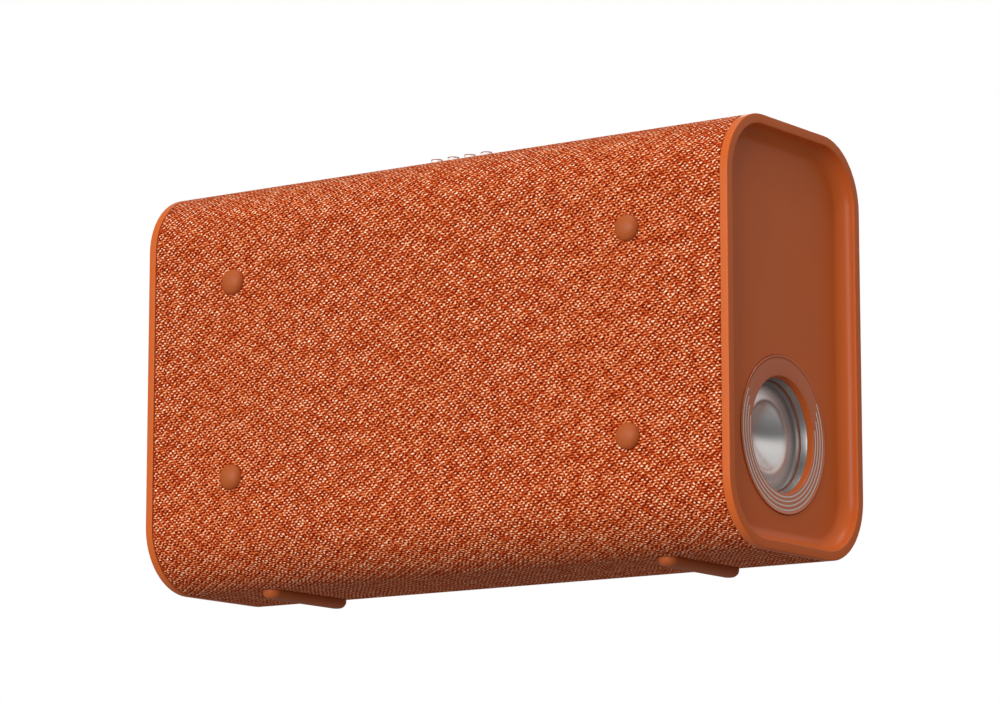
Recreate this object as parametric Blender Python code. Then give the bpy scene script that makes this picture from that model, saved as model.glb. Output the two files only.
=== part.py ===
"""Fabric-wrapped camping power station with a torch in one end and a covered socket bay in the other.

Frame: origin on the table under the middle of the box, +X along the length towards the socket end,
+Y towards the back with the four round feet, +Z up. Lengths below are in millimetres; the meshes are in metres.
"""

import math

import bmesh
import bpy
from mathutils import Matrix, Vector

# ---------------------------------------------------------------- driving dimensions, mm
LENGTH, DEPTH, HEIGHT = 311.0, 108.0, 184.0   # body, without feet and buttons
CORNER = 29.0                                 # outer corner radius of the section
CORNER_STEPS = 9
FABRIC = 1.2                                  # thickness of the textile sleeve
BAND = 3.7                                    # width of the bare plastic band at each end
RIM = 4.2                                     # width of the flat rim round each end recess
RECESS = 7.2                                  # depth of each end recess
COVE = 6.1                                    # radius of the cove round the recess floor
WALL = 2.8                                    # core shell wall
GAP = 0.3

BAR_HEIGHT, BAR_LENGTH, BAR_WIDTH = 4.0, 56.0, 9.2
FOOT_X = 106.0                                # both kinds of feet stand at this distance from the middle
DOME_HEIGHT, DOME_R, DOME_Z = 4.0, 5.8, 44.2

BUTTON_R, BUTTON_PITCH, BUTTON_PROUD, BUTTON_TRAVEL = 2.6, 9.0, 1.6, 1.0
BUTTON_Y = 26.0                               # from the middle of the body towards the back

TORCH_DROP = 40.7                             # torch axis below the middle of the end
BAY_Y, BAY_LOW, BAY_HIGH = 31.0, 26.0, 84.2   # socket bay opening
HINGE_R = 2.6                                 # barrel of the bay door

BASE = BAR_HEIGHT                             # underside of the body
TOP = BASE + HEIGHT
MID_Z = BASE + HEIGHT / 2
BODY_Y = -DOME_HEIGHT / 2                     # middle of the body's depth
BACK = BODY_Y + DEPTH / 2
END = LENGTH / 2
TORCH_Z = MID_Z - TORCH_DROP
MM = 0.001

for old in list(bpy.data.objects):
    bpy.data.objects.remove(old, do_unlink=True)


# ---------------------------------------------------------------- helpers
def material(name, colour, roughness, metallic=0.0):
    made = bpy.data.materials.new(name)
    made.use_nodes = True
    shader = made.node_tree.nodes["Principled BSDF"]
    shader.inputs["Base Color"].default_value = (*colour, 1.0)
    shader.inputs["Roughness"].default_value = roughness
    shader.inputs["Metallic"].default_value = metallic
    return made


FABRIC_MAT = material("orange_melange_fabric", (0.55, 0.13, 0.035), 0.9)
SHELL_MAT = material("orange_moulded_plastic", (0.62, 0.16, 0.045), 0.45)
CORE_MAT = material("black_core_plastic", (0.03, 0.03, 0.032), 0.6)
RUBBER_MAT = material("orange_rubber", (0.50, 0.14, 0.045), 0.7)
SEAL_MAT = material("seal_rubber", (0.02, 0.02, 0.02), 0.8)
CHROME_MAT = material("satin_chrome", (0.72, 0.72, 0.72), 0.25, 1.0)
REFLECTOR_MAT = material("metallised_reflector", (0.7, 0.69, 0.68), 0.3, 1.0)
LENS_MAT = material("clear_lens", (0.9, 0.92, 0.92), 0.05)
KEY_MAT = material("pale_key_plastic", (0.82, 0.78, 0.75), 0.3)
BOARD_MAT = material("circuit_board_green", (0.02, 0.12, 0.05), 0.5)
CELL_MAT = material("cell_sleeve_blue", (0.04, 0.12, 0.32), 0.5)
METAL_MAT = material("nickel_plate", (0.6, 0.58, 0.54), 0.35, 1.0)
ALU_MAT = material("aluminium_heat_sink", (0.6, 0.6, 0.62), 0.4, 1.0)
STEEL_MAT = material("zinc_screw_steel", (0.5, 0.5, 0.5), 0.35, 1.0)
CABLE_MAT = material("cable_sheath", (0.25, 0.02, 0.02), 0.5)


def finish(obj, mat, helper=False):
    """Links the object, gives it its material, and shades its round faces smooth. A helper only cuts or joins."""
    bpy.context.scene.collection.objects.link(obj)
    obj.data.materials.append(mat)
    if helper:
        obj.hide_render = True
        obj.display_type = "WIRE"
    elif obj.type == "MESH":
        obj.data.shade_smooth()
        obj.data.set_sharp_from_angle(angle=math.radians(35))
    return obj


def solid(name, bm, mat, helper=False, at=(0, 0, 0)):
    """Makes the object, with its origin at the point at."""
    bmesh.ops.remove_doubles(bm, verts=bm.verts, dist=1e-6)
    bmesh.ops.recalc_face_normals(bm, faces=bm.faces)
    for v in bm.verts:
        v.co = (v.co - Vector(at)) * MM
    mesh = bpy.data.meshes.new(name)
    bm.to_mesh(mesh)
    bm.free()
    obj = bpy.data.objects.new(name, mesh)
    obj.location = Vector(at) * MM
    return finish(obj, mat, helper)


def section(inset, x, steps=CORNER_STEPS):
    """The body's rounded-rectangle section, moved inwards by inset, at one x."""
    r, hy, hz = CORNER - inset, DEPTH / 2 - CORNER, HEIGHT / 2 - CORNER
    points = []
    for quarter, (sy, sz) in enumerate(((1, 1), (-1, 1), (-1, -1), (1, -1))):
        for k in range(steps + 1):
            a = math.radians(90 * (quarter + k / steps))
            points.append(Vector((x, BODY_Y + sy * hy + r * math.cos(a), MID_Z + sz * hz + r * math.sin(a))))
    return points


def loft(name, path, mat, closed, helper=False, steps=CORNER_STEPS):
    """Sections at each (inset, x) of path joined into one skin: a ring if closed, else a plate capped at both ends."""
    bm = bmesh.new()
    loops = []
    for inset, x in path:
        verts = [bm.verts.new(p) for p in section(inset, x, steps)]
        loops.append([bm.edges.new((verts[k], verts[(k + 1) % len(verts)])) for k in range(len(verts))])
    count = len(loops)
    for i in range(count if closed else count - 1):
        bmesh.ops.bridge_loops(bm, edges=loops[i] + loops[(i + 1) % count])
    if not closed:
        bmesh.ops.contextual_create(bm, geom=loops[0])
        bmesh.ops.contextual_create(bm, geom=loops[-1])
    return solid(name, bm, mat, helper)


def turned(name, profile, centre, axis, mat, steps=36, closed=True, helper=False):
    """A turned solid. profile is (along, radius) pairs; closed for a ring, open if it starts and ends on the axis."""
    bm = bmesh.new()
    verts = [bm.verts.new((r, 0, a)) for a, r in profile]
    edges = [bm.edges.new((verts[k], verts[k + 1])) for k in range(len(verts) - 1)]
    if closed:
        edges.append(bm.edges.new((verts[-1], verts[0])))
    bmesh.ops.spin(bm, geom=verts + edges, cent=(0, 0, 0), axis=(0, 0, 1), dvec=(0, 0, 0), angle=2 * math.pi, steps=steps, use_merge=True)
    bmesh.ops.remove_doubles(bm, verts=bm.verts, dist=1e-4)
    turn = Vector((0, 0, 1)).rotation_difference(Vector(axis)).to_matrix().to_4x4()
    bmesh.ops.transform(bm, matrix=Matrix.Translation(centre) @ turn, verts=bm.verts)
    return solid(name, bm, mat, helper, at=centre)


def rod(name, radius, start, end, mat, steps=24, helper=False):
    """A plain cylinder from start to end."""
    start, end = Vector(start), Vector(end)
    bm = bmesh.new()
    bmesh.ops.create_cone(bm, cap_ends=True, segments=steps, radius1=radius, radius2=radius, depth=(end - start).length)
    turn = Vector((0, 0, 1)).rotation_difference(end - start).to_matrix().to_4x4()
    bmesh.ops.transform(bm, matrix=Matrix.Translation((start + end) / 2) @ turn, verts=bm.verts)
    return solid(name, bm, mat, helper, at=(start + end) / 2)


def block(name, low, high, mat, bevel=0.0, segments=2, helper=False, edges="all"):
    """A box between two corners. edges picks what is rounded: all, or those along x, y or z."""
    low, high = Vector(low), Vector(high)
    bm = bmesh.new()
    bmesh.ops.create_cube(bm, size=1.0)
    bmesh.ops.transform(bm, matrix=Matrix.Translation((low + high) / 2) @ Matrix.Diagonal((*(high - low), 1)), verts=bm.verts)
    if bevel:
        chosen = [e for e in bm.edges if edges == "all" or abs((e.verts[0].co - e.verts[1].co)["xyz".index(edges)]) > 1e-4]
        bmesh.ops.bevel(bm, geom=chosen, offset=bevel, segments=segments, profile=0.5, affect="EDGES")
    return solid(name, bm, mat, helper, at=(low + high) / 2)


def slab(name, outline, axis, start, end, mat, helper=False, at=(0, 0, 0)):
    """A flat outline extruded from start to end along axis; the outline's pairs are the other two coordinates in order."""
    bm = bmesh.new()
    order = {"x": lambda p, t: (t, p[0], p[1]), "y": lambda p, t: (p[0], t, p[1]), "z": lambda p, t: (p[0], p[1], t)}[axis]
    face = bm.faces.new([bm.verts.new(order(p, start)) for p in outline])
    made = bmesh.ops.extrude_face_region(bm, geom=[face])
    move = Vector(order((0, 0), end - start))
    bmesh.ops.translate(bm, vec=move, verts=[g for g in made["geom"] if isinstance(g, bmesh.types.BMVert)])
    return solid(name, bm, mat, helper, at)


def round_rect(cy, cz, hy, hz, r, steps=5):
    return [
        (cy + sy * (hy - r) + r * math.cos(math.radians(90 * (q + k / steps))), cz + sz * (hz - r) + r * math.sin(math.radians(90 * (q + k / steps))))
        for q, (sy, sz) in enumerate(((1, 1), (-1, 1), (-1, -1), (1, -1)))
        for k in range(steps + 1)
    ]


def boolean(obj, other, operation):
    other.hide_render = True
    other.display_type = "WIRE"
    mod = obj.modifiers.new(f"{operation.lower()}_{other.name}", "BOOLEAN")
    mod.operation, mod.solver, mod.object = operation, "EXACT", other


def cut(obj, *others):
    for other in others:
        boolean(obj, other, "DIFFERENCE")


def join(obj, *others):
    for other in others:
        boolean(obj, other, "UNION")


# ---------------------------------------------------------------- textile sleeve and the two core shells
sleeve = loft("fabric_sleeve", [(0, -END + BAND + GAP), (0, END - BAND - GAP), (FABRIC, END - BAND - GAP), (FABRIC, -END + BAND + GAP)], FABRIC_MAT, closed=True)

OUTER, INNER = FABRIC + GAP, FABRIC + GAP + WALL          # insets of the core wall
CORE_END = END - 9.5


def half_shell(name, side):
    """One half of the core tube, split at the middle of the depth, with ribs that hold the tray and the main board."""
    split = BODY_Y + side * 0.15

    def half(inset):
        """The section's points on this side, from the top of the split to its bottom."""
        kept = [(p.y, p.z) for p in section(inset, 0) if side * (p.y - BODY_Y) > 0.1]
        kept.sort(key=lambda p: -math.atan2(p[1] - MID_Z, side * (p[0] - BODY_Y)))
        return [(split, TOP - inset)] + kept + [(split, BASE + inset)]

    outline = half(OUTER) + half(INNER)[::-1]
    shell = slab(name, outline, "x", -CORE_END, CORE_END, CORE_MAT)
    wall = BODY_Y + side * (DEPTH / 2 - INNER)
    ribs = []
    for k, (x0, x1) in enumerate(((85.6, 87.7), (89.9, 92.0))):
        y0, y1 = sorted((wall + side * 1.0, wall - side * 3.2))
        ribs.append(block(f"{name}_board_rib_{k}", (x0, y0, 40), (x1, y1, 150), CORE_MAT, helper=True))
    for k, x in enumerate((-50, 50)):
        y0, y1 = sorted((BODY_Y + side * 3, BODY_Y + side * 23))
        ribs.append(block(f"{name}_tray_rib_{k}", (x - 2, y0, BASE + INNER - 1.0), (x + 2, y1, 9.6), CORE_MAT, helper=True))
    join(shell, *ribs)
    return shell


shell_front = half_shell("core_shell_front", -1)
shell_rear = half_shell("core_shell_rear", 1)

# ---------------------------------------------------------------- end caps
FLOOR = END - RECESS                    # outer face of the recess floor
FLOOR_BACK = FLOOR - 2.4
STEP = CORE_END + 1.3                   # back of the ledge that carries the sleeve's edge


def cap_path(side):
    """Half-section of an end cap as (inset, x): recess floor, cove, rim, band, ledge, spigot, back of the floor."""
    cove = [(RIM + 0.2 + COVE * (1 - math.cos(t)), FLOOR + COVE * (1 - math.sin(t))) for t in (math.radians(a) for a in (90, 72, 54, 36, 18, 0))]
    path = cove + [(RIM, END - 0.4), (RIM - 0.35, END), (0.5, END), (0.12, END - 0.15), (0.0, END - 0.5), (0.0, END - BAND), (OUTER, END - BAND), (OUTER, STEP), (INNER + GAP, STEP), (INNER + GAP, 138.0), (INNER + GAP + 2.4, 138.0), (INNER + GAP + 2.4, FLOOR_BACK)]
    return [(inset, side * x) for inset, x in path]


cap_torch = loft("end_cap_torch", cap_path(-1), SHELL_MAT, closed=False)
cap_ports = loft("end_cap_ports", cap_path(1), SHELL_MAT, closed=False)
for side, name in ((-1, "torch"), (1, "ports")):
    x0, x1 = side * (CORE_END + GAP), side * (STEP - GAP)
    loft(f"end_seal_{name}", [(OUTER + GAP, x0), (OUTER + GAP, x1), (INNER - 0.1, x1), (INNER - 0.1, x0)], SEAL_MAT, closed=True)

# ---------------------------------------------------------------- torch, on an axis along -X
TORCH = (-END, BODY_Y, TORCH_Z)         # where the torch axis meets the rim's plane
INWARD = (1, 0, 0)

join(cap_torch, rod("torch_seat", 38.0, (-END + 8.2, BODY_Y, TORCH_Z), (-END + 11.5, BODY_Y, TORCH_Z), SHELL_MAT, 44, helper=True))
cut(cap_torch, turned("torch_counterbore", [(5.0, 0), (5.0, 34.1), (8.5, 34.1), (8.5, 27.0), (13, 27.0), (13, 0)], TORCH, INWARD, SHELL_MAT, 48, closed=False, helper=True))

turned("torch_bezel", [(6.9, 33.8), (6.7, 33.6), (6.75, 33.1), (7.0, 32.4), (7.15, 25.2), (7.5, 24.9), (10.0, 24.5), (10.0, 26.6), (8.2, 26.6), (8.2, 33.8)], TORCH, INWARD, SHELL_MAT, 48)
turned("torch_trim_ring", [(10.3, 24.35), (13.0, 23.6), (13.0, 26.6), (10.3, 26.6)], TORCH, INWARD, CHROME_MAT, 48)
turned("torch_collar", [(13.3, 25.6), (13.3, 23.75), (15.4, 23.75), (15.4, 25.6)], TORCH, INWARD, SHELL_MAT, 48)
turned("torch_dish", [(21.5, 0), (20.4, 6.0), (18.7, 9.6), (16.9, 12.3), (15.4, 14.1), (14.85, 15.6), (14.95, 17.3), (15.6, 19.6), (15.95, 21.2), (15.6, 22.4), (14.6, 22.9), (13.6, 23.0), (13.6, 23.4), (15.7, 23.4), (15.7, 25.6), (18.0, 25.6), (18.0, 21.0), (17.0, 18.3), (17.2, 15.0), (19.6, 12.0), (21.6, 8.0), (22.8, 4.0), (23.0, 0)], TORCH, INWARD, REFLECTOR_MAT, 40, closed=False)
turned("torch_emitter", [(25.4, 0), (25.6, 1.3), (26.2, 2.1), (27.3, 2.5), (27.3, 3.5), (27.9, 3.5), (27.9, 0)], TORCH, INWARD, LENS_MAT, 24, closed=False)
turned("torch_led_board", [(28.2, 0), (28.2, 16), (29.8, 16), (29.8, 0)], TORCH, INWARD, BOARD_MAT, 28, closed=False)
fins = [(30.1, 0), (30.1, 26.0), (13.2, 26.0), (13.2, 27.0), (11.8, 27.0), (11.8, 29.5), (34.0, 29.5)]
for k in range(3):
    fins += [(34.0 + 6 * k, 17), (37.5 + 6 * k, 17), (37.5 + 6 * k, 29.5), (40.0 + 6 * k, 29.5)]
turned("torch_heatsink", fins[:-1] + [(52.0, 29.5), (52.0, 0)], TORCH, INWARD, ALU_MAT, 24, closed=False)

# ---------------------------------------------------------------- feet: two bars below, four domes behind
HOLE_R = 2.3
for side, name in ((-1, "torch_side"), (1, "ports_side")):
    x = side * FOOT_X
    r = BAR_WIDTH / 2
    outline = [(x + r * math.cos(math.radians(a)), BODY_Y + way * (BAR_LENGTH / 2 - r) + r * math.sin(math.radians(a))) for way, first in ((1, 0), (-1, 180)) for a in range(first, first + 181, 18)]
    bm_foot = bmesh.new()
    face = bm_foot.faces.new([bm_foot.verts.new((px, py, 0)) for px, py in outline])
    inner = bmesh.ops.extrude_face_region(bm_foot, geom=[face])
    bmesh.ops.translate(bm_foot, vec=(0, 0, BAR_HEIGHT - GAP), verts=[g for g in inner["geom"] if isinstance(g, bmesh.types.BMVert)])
    lower = [e for e in bm_foot.edges if all(v.co.z < 0.01 for v in e.verts)]
    bmesh.ops.bevel(bm_foot, geom=lower, offset=2.9, segments=5, profile=0.5, affect="EDGES")
    foot = solid(f"base_foot_{name}", bm_foot, RUBBER_MAT)
    for k, dy in enumerate((-16, 16)):
        y = BODY_Y + dy
        join(foot, turned(f"base_foot_{name}_stem_{k}", [(2.0, 0), (2.0, 2.0), (BASE + 4.6, 2.0), (BASE + 4.6, 3.0), (BASE + 5.8, 2.2), (BASE + 5.8, 0)], (x, y, 0), (0, 0, 1), RUBBER_MAT, 20, closed=False, helper=True))
        hole = rod(f"base_foot_{name}_hole_{k}", HOLE_R, (x, y, BASE - 1), (x, y, BASE + 5.4), CORE_MAT, 20, helper=True)
        cut(sleeve, hole)
        cut(shell_front if dy < 0 else shell_rear, hole)
    for level, z in (("upper", MID_Z + DOME_Z), ("lower", MID_Z - DOME_Z)):
        turned(f"back_foot_{level}_{name}", [(DOME_HEIGHT, 0), (DOME_HEIGHT, 2.8), (3.8, 3.8), (3.3, 4.7), (2.5, 5.3), (1.3, 5.7), (GAP, DOME_R), (GAP, 2.0), (-4.6, 2.0), (-4.6, 3.0), (-5.8, 2.2), (-5.8, 0)], (x, BACK, z), (0, 1, 0), RUBBER_MAT, 20, closed=False)
        hole = rod(f"back_foot_{level}_{name}_hole", HOLE_R, (x, BACK - 6, z), (x, BACK + 1, z), CORE_MAT, 20, helper=True)
        cut(sleeve, hole)
        cut(shell_rear, hole)

# ---------------------------------------------------------------- four push buttons, their guide and the switch board
KEY_Y = BODY_Y + BUTTON_Y
KEYS = ("battery_check", "usb", "torch", "power")
PLATE_TOP = TOP - 8.2
guide = block("button_guide", (-36, KEY_Y - 7, PLATE_TOP - 2), (36, KEY_Y + 7, PLATE_TOP), CORE_MAT, 2.0, 2, edges="z")
board = block("switch_board", (-36, KEY_Y - 7, TOP - 15.8), (36, KEY_Y + 7, TOP - 14.2), BOARD_MAT, 1.5, 2, edges="z")
for k, key in enumerate(KEYS):
    x = (k - 1.5) * BUTTON_PITCH
    turned(f"button_{key}", [(BUTTON_PROUD, 0), (BUTTON_PROUD, 2.1), (BUTTON_PROUD - 0.15, 2.4), (BUTTON_PROUD - 0.4, BUTTON_R), (-5.2, BUTTON_R), (-5.2, 3.7), (-6.4, 3.7), (-6.4, 1.5), (-10.8, 1.5), (-10.8, 0)], (x, KEY_Y, TOP), (0, 0, 1), KEY_MAT, 24, closed=False)
    opening = rod(f"button_{key}_opening", BUTTON_R + GAP, (x, KEY_Y, TOP - 5.0), (x, KEY_Y, TOP + 1), CORE_MAT, 24, helper=True)
    cut(sleeve, opening)
    cut(shell_rear, opening)
    cut(guide, rod(f"button_{key}_guide_hole", 1.85, (x, KEY_Y, PLATE_TOP - 3), (x, KEY_Y, PLATE_TOP + 1), CORE_MAT, 20, helper=True))
    join(board, block(f"button_{key}_switch", (x - 3, KEY_Y - 3, TOP - 14.8), (x + 3, KEY_Y + 3, TOP - 12.2), CORE_MAT, helper=True))
for side, name in ((-1, "left"), (1, "right")):
    x = side * 31.0
    join(shell_rear, rod(f"control_boss_{name}", 3.2, (x, KEY_Y, TOP - INNER + 1.2), (x, KEY_Y, PLATE_TOP + GAP), CORE_MAT, 20, helper=True))
    join(guide, rod(f"control_spacer_{name}", 3.2, (x, KEY_Y, PLATE_TOP - 1), (x, KEY_Y, TOP - 14.2 + GAP), CORE_MAT, 20, helper=True))
    hole = rod(f"control_screw_hole_{name}", 1.6, (x, KEY_Y, TOP - 17), (x, KEY_Y, TOP - 3.6), CORE_MAT, 18, helper=True)
    cut(shell_rear, hole)
    cut(guide, hole)
    cut(board, hole)
    turned(f"control_screw_{name}", [(-17.6, 0), (-17.4, 1.8), (-16.9, 2.5), (-16.1, 2.5), (-16.1, 1.25), (-4.2, 1.25), (-4.2, 0)], (x, KEY_Y, TOP), (0, 0, 1), STEEL_MAT, 18, closed=False)

# ---------------------------------------------------------------- battery: four prismatic cells in series, tray, straps, links
CELL_X0, CELL_X1, CELL_HALF_Y, CELL_Z, CELL_PITCH = -75.0, 70.0, 35.5, 29.0, 29.6
CELL_BASE = 12.8
for k in range(4):
    z0 = CELL_BASE + k * CELL_PITCH
    cell = block(f"battery_cell_{k + 1}", (CELL_X0, BODY_Y - CELL_HALF_Y, z0), (CELL_X1, BODY_Y + CELL_HALF_Y, z0 + CELL_Z), CELL_MAT, 2.0, 1, edges="x")
    for side, name in ((-1, "a"), (1, "b")):
        join(cell, rod(f"battery_cell_{k + 1}_terminal_{name}", 4.5, (CELL_X1 - 1, BODY_Y + side * 22, z0 + CELL_Z / 2), (CELL_X1 + 2.5, BODY_Y + side * 22, z0 + CELL_Z / 2), METAL_MAT, 18, helper=True))
for k in range(3):
    y = BODY_Y + (22 if k % 2 == 0 else -22)
    z = CELL_BASE + (k + 0.5) * CELL_PITCH
    slab(f"cell_link_{k + 1}", round_rect(y, z + CELL_PITCH * 0.0 + CELL_Z / 2, 6.0, 20.5, 4.0, 3), "x", CELL_X1 + 2.8, CELL_X1 + 3.8, METAL_MAT)
tray = block("battery_tray", (CELL_X0 - 3.0, BODY_Y - 32, 9.9), (77.0, BODY_Y + 32, 12.5), CORE_MAT)
join(tray, block("battery_tray_end", (CELL_X0 - 3.0, BODY_Y - 32, 10.5), (CELL_X0 - 0.3, BODY_Y + 32, 118), CORE_MAT, helper=True))
join(tray, block("battery_tray_lip", (74.4, BODY_Y - 32, 10.5), (77.0, BODY_Y + 32, 19), CORE_MAT, helper=True))
PACK_TOP = CELL_BASE + 3 * CELL_PITCH + CELL_Z
for side, name in ((-1, "left"), (1, "right")):
    x = side * 42.0
    hy = CELL_HALF_Y + 0.3
    strap = [(BODY_Y - hy, 17), (BODY_Y - hy, PACK_TOP + 0.3), (BODY_Y + hy, PACK_TOP + 0.3), (BODY_Y + hy, 17), (BODY_Y + hy + 1.2, 17), (BODY_Y + hy + 1.2, PACK_TOP + 1.5), (BODY_Y - hy - 1.2, PACK_TOP + 1.5), (BODY_Y - hy - 1.2, 17)]
    slab(f"battery_strap_{name}", strap, "x", x - 8, x + 8, SEAL_MAT)
bms = block("protection_board", (-62, BODY_Y - 30, PACK_TOP + 1.8), (62, BODY_Y + 30, PACK_TOP + 3.4), BOARD_MAT, 2.0, 2, edges="z")
for k in range(5):
    join(bms, block(f"protection_transistor_{k}", (-48 + 20 * k, BODY_Y - 24, PACK_TOP + 3.0), (-38 + 20 * k, BODY_Y - 14, PACK_TOP + 7.6), CORE_MAT, helper=True))
join(bms, block("protection_shunt", (-20, BODY_Y + 8, PACK_TOP + 3.0), (20, BODY_Y + 16, PACK_TOP + 5.4), METAL_MAT, helper=True))

# ---------------------------------------------------------------- main converter board
main_outline = [(p.y, p.z) for p in section(6.4, 0, 5)]
slab("main_board", main_outline, "x", 88.0, 89.6, BOARD_MAT)
turned("main_inductor", [(8.0 + 5.5 * math.cos(math.radians(a)), 12.0 + 5.5 * math.sin(math.radians(a))) for a in range(0, 360, 30)], (87.9, BODY_Y + 18, 140), (1, 0, 0), ALU_MAT, 20)
sink = block("main_heatsink", (89.9, BODY_Y - 36, 96), (93.0, BODY_Y - 2, 162), ALU_MAT)
for k in range(5):
    join(sink, block(f"main_heatsink_fin_{k}", (92.0, BODY_Y - 36 + 8 * k, 96), (108.0, BODY_Y - 34 + 8 * k, 162), ALU_MAT, helper=True))
for k, z in enumerate((92, 112)):
    turned(f"main_capacitor_{k + 1}", [(0, 0), (0, 7.2), (1.5, 7.5), (24, 7.5), (25, 6.8), (25, 0)], (89.9, BODY_Y + 20, z), (1, 0, 0), CORE_MAT, 22, closed=False)

# ---------------------------------------------------------------- socket bay in the other end
BAY_FLOOR = 138.7
BAY_BACK = BAY_FLOOR - 2.0
mid_bay = (BAY_LOW + BAY_HIGH) / 2
half_bay = (BAY_HIGH - BAY_LOW) / 2
join(cap_ports, slab("bay_well", round_rect(BODY_Y, mid_bay, BAY_Y + 3.5, half_bay + 2.6, 7.0), "x", BAY_BACK, FLOOR_BACK + 1.2, SHELL_MAT, helper=True))
AXIS_X, AXIS_Z = FLOOR - HINGE_R - 0.1, BAY_HIGH - 0.4 - HINGE_R
INNER_Z, INNER_HALF_Y, INNER_HALF_Z = 51.1, 27.5, 21.5      # opening inside the ledge that carries the seal
front_outline = [(y, z) for y, z in round_rect(BODY_Y, mid_bay, BAY_Y, half_bay, 2.0) if z < mid_bay] + [(BODY_Y + BAY_Y, BAY_HIGH), (BODY_Y - BAY_Y, BAY_HIGH)]
cut(
    cap_ports,
    slab("bay_front_cavity", front_outline, "x", FLOOR - 4.2, END + 2, SHELL_MAT, helper=True),
    slab("bay_inner_cavity", round_rect(BODY_Y, INNER_Z, INNER_HALF_Y, INNER_HALF_Z, 2.0), "x", BAY_FLOOR, FLOOR, SHELL_MAT, helper=True),
    block("bay_barrel_pocket", (AXIS_X - HINGE_R - 0.4, BODY_Y - BAY_Y + 0.1, AXIS_Z - HINGE_R - 0.5), (FLOOR - 2, BODY_Y + BAY_Y - 0.1, BAY_HIGH - 0.1), SHELL_MAT, helper=True),
)
PIN_REACH = BAY_Y + 2.3
cut(cap_ports, rod("bay_pin_hole", 1.4, (AXIS_X, BODY_Y - PIN_REACH - 0.3, AXIS_Z), (AXIS_X, BODY_Y + PIN_REACH + 0.3, AXIS_Z), STEEL_MAT, 18, helper=True))
rod("bay_door_pin", 1.1, (AXIS_X, BODY_Y - PIN_REACH, AXIS_Z), (AXIS_X, BODY_Y + PIN_REACH, AXIS_Z), STEEL_MAT, 18)
door_half_y = BAY_Y - 0.35
door_outline = [(y, z) for y, z in round_rect(BODY_Y, mid_bay, door_half_y, half_bay - 0.35, 1.7) if z < mid_bay] + [(BODY_Y + door_half_y, AXIS_Z), (BODY_Y - door_half_y, AXIS_Z)]
hinge = (AXIS_X, BODY_Y, AXIS_Z)
door = slab("bay_door", door_outline, "x", FLOOR - 2.2, FLOOR, SHELL_MAT, at=hinge)
join(door, rod("bay_door_barrel", HINGE_R, (AXIS_X, BODY_Y - BAY_Y + 2.5, AXIS_Z), (AXIS_X, BODY_Y + BAY_Y - 2.5, AXIS_Z), SHELL_MAT, 28, helper=True))
join(door, block("bay_door_tab", (FLOOR - 1.0, BODY_Y - 8, BAY_LOW + 2.2), (FLOOR + 2.6, BODY_Y + 8, BAY_LOW + 4.6), SHELL_MAT, 0.8, 2, helper=True))
cut(door, rod("bay_door_bore", 1.4, (AXIS_X, BODY_Y - BAY_Y - 5, AXIS_Z), (AXIS_X, BODY_Y + BAY_Y + 5, AXIS_Z), STEEL_MAT, 18, helper=True))
seal = slab("bay_door_seal", round_rect(BODY_Y, INNER_Z, INNER_HALF_Y + 1.9, INNER_HALF_Z + 2.2, 3.0), "x", FLOOR - 3.9, FLOOR - 2.5, SEAL_MAT, at=hinge)
cut(seal, slab("bay_door_seal_middle", round_rect(BODY_Y, INNER_Z, INNER_HALF_Y + 0.2, INNER_HALF_Z + 0.4, 2.0), "x", FLOOR - 5, FLOOR - 1, SEAL_MAT, helper=True))

BOARD_X = 126.2                        # outer face of the socket board
slab("port_board", round_rect(BODY_Y, mid_bay, 32, 30, 3.0, 3), "x", BOARD_X - 1.6, BOARD_X, BOARD_MAT)
FACE = BAY_FLOOR + 0.5
for k, z in enumerate((66.0, 52.0)):
    y = BODY_Y - 15
    usb = block(f"usb_a_socket_{k + 1}", (BOARD_X + GAP, y - 7.0, z - 3.4), (FACE, y + 7.0, z + 3.4), METAL_MAT, 0.8, 2, edges="x")
    cut(usb, block(f"usb_a_mouth_{k + 1}", (BOARD_X + 3, y - 6.2, z - 2.6), (FACE + 1, y + 6.2, z + 2.6), METAL_MAT, helper=True))
    join(usb, block(f"usb_a_tongue_{k + 1}", (BOARD_X + 2, y - 5.4, z - 0.1), (FACE - 0.8, y + 5.4, z + 1.7), METAL_MAT, helper=True))
    cut(cap_ports, block(f"usb_a_window_{k + 1}", (BAY_BACK - 1, y - 7.3, z - 3.7), (BAY_FLOOR + 0.25, y + 7.3, z + 3.7), METAL_MAT, helper=True))
    y = BODY_Y + 15
    usb = slab(f"usb_c_socket_{k + 1}", round_rect(y, z, 4.9, 2.1, 2.05, 4), "x", BOARD_X + GAP, FACE, METAL_MAT)
    cut(usb, slab(f"usb_c_mouth_{k + 1}", round_rect(y, z, 4.2, 1.4, 1.35, 4), "x", BOARD_X + 4, FACE + 1, METAL_MAT, helper=True))
    join(usb, block(f"usb_c_tongue_{k + 1}", (BOARD_X + 3, y - 3.3, z - 0.4), (FACE - 0.8, y + 3.3, z + 0.4), METAL_MAT, helper=True))
    cut(cap_ports, slab(f"usb_c_window_{k + 1}", round_rect(y, z, 5.2, 2.4, 2.35, 4), "x", BAY_BACK - 1, BAY_FLOOR + 0.25, METAL_MAT, helper=True))
for name, y, r, bore in (("dc_output_socket", BODY_Y - 15, 4.6, 2.8), ("dc_input_socket", BODY_Y + 15, 5.4, 3.2)):
    z = 37.5
    turned(name, [(0, 0), (0, r), (FACE - BOARD_X - GAP, r), (FACE - BOARD_X - GAP, bore), (3.0, bore), (3.0, 1.0), (FACE - BOARD_X - 1.6, 1.0), (FACE - BOARD_X - 1.6, 0)], (BOARD_X + GAP, y, z), (1, 0, 0), CORE_MAT, 24, closed=False)
    cut(cap_ports, rod(f"{name}_window", r + GAP, (BAY_BACK - 1, y, z), (BAY_FLOOR + 0.25, y, z), METAL_MAT, 24, helper=True))

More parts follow.
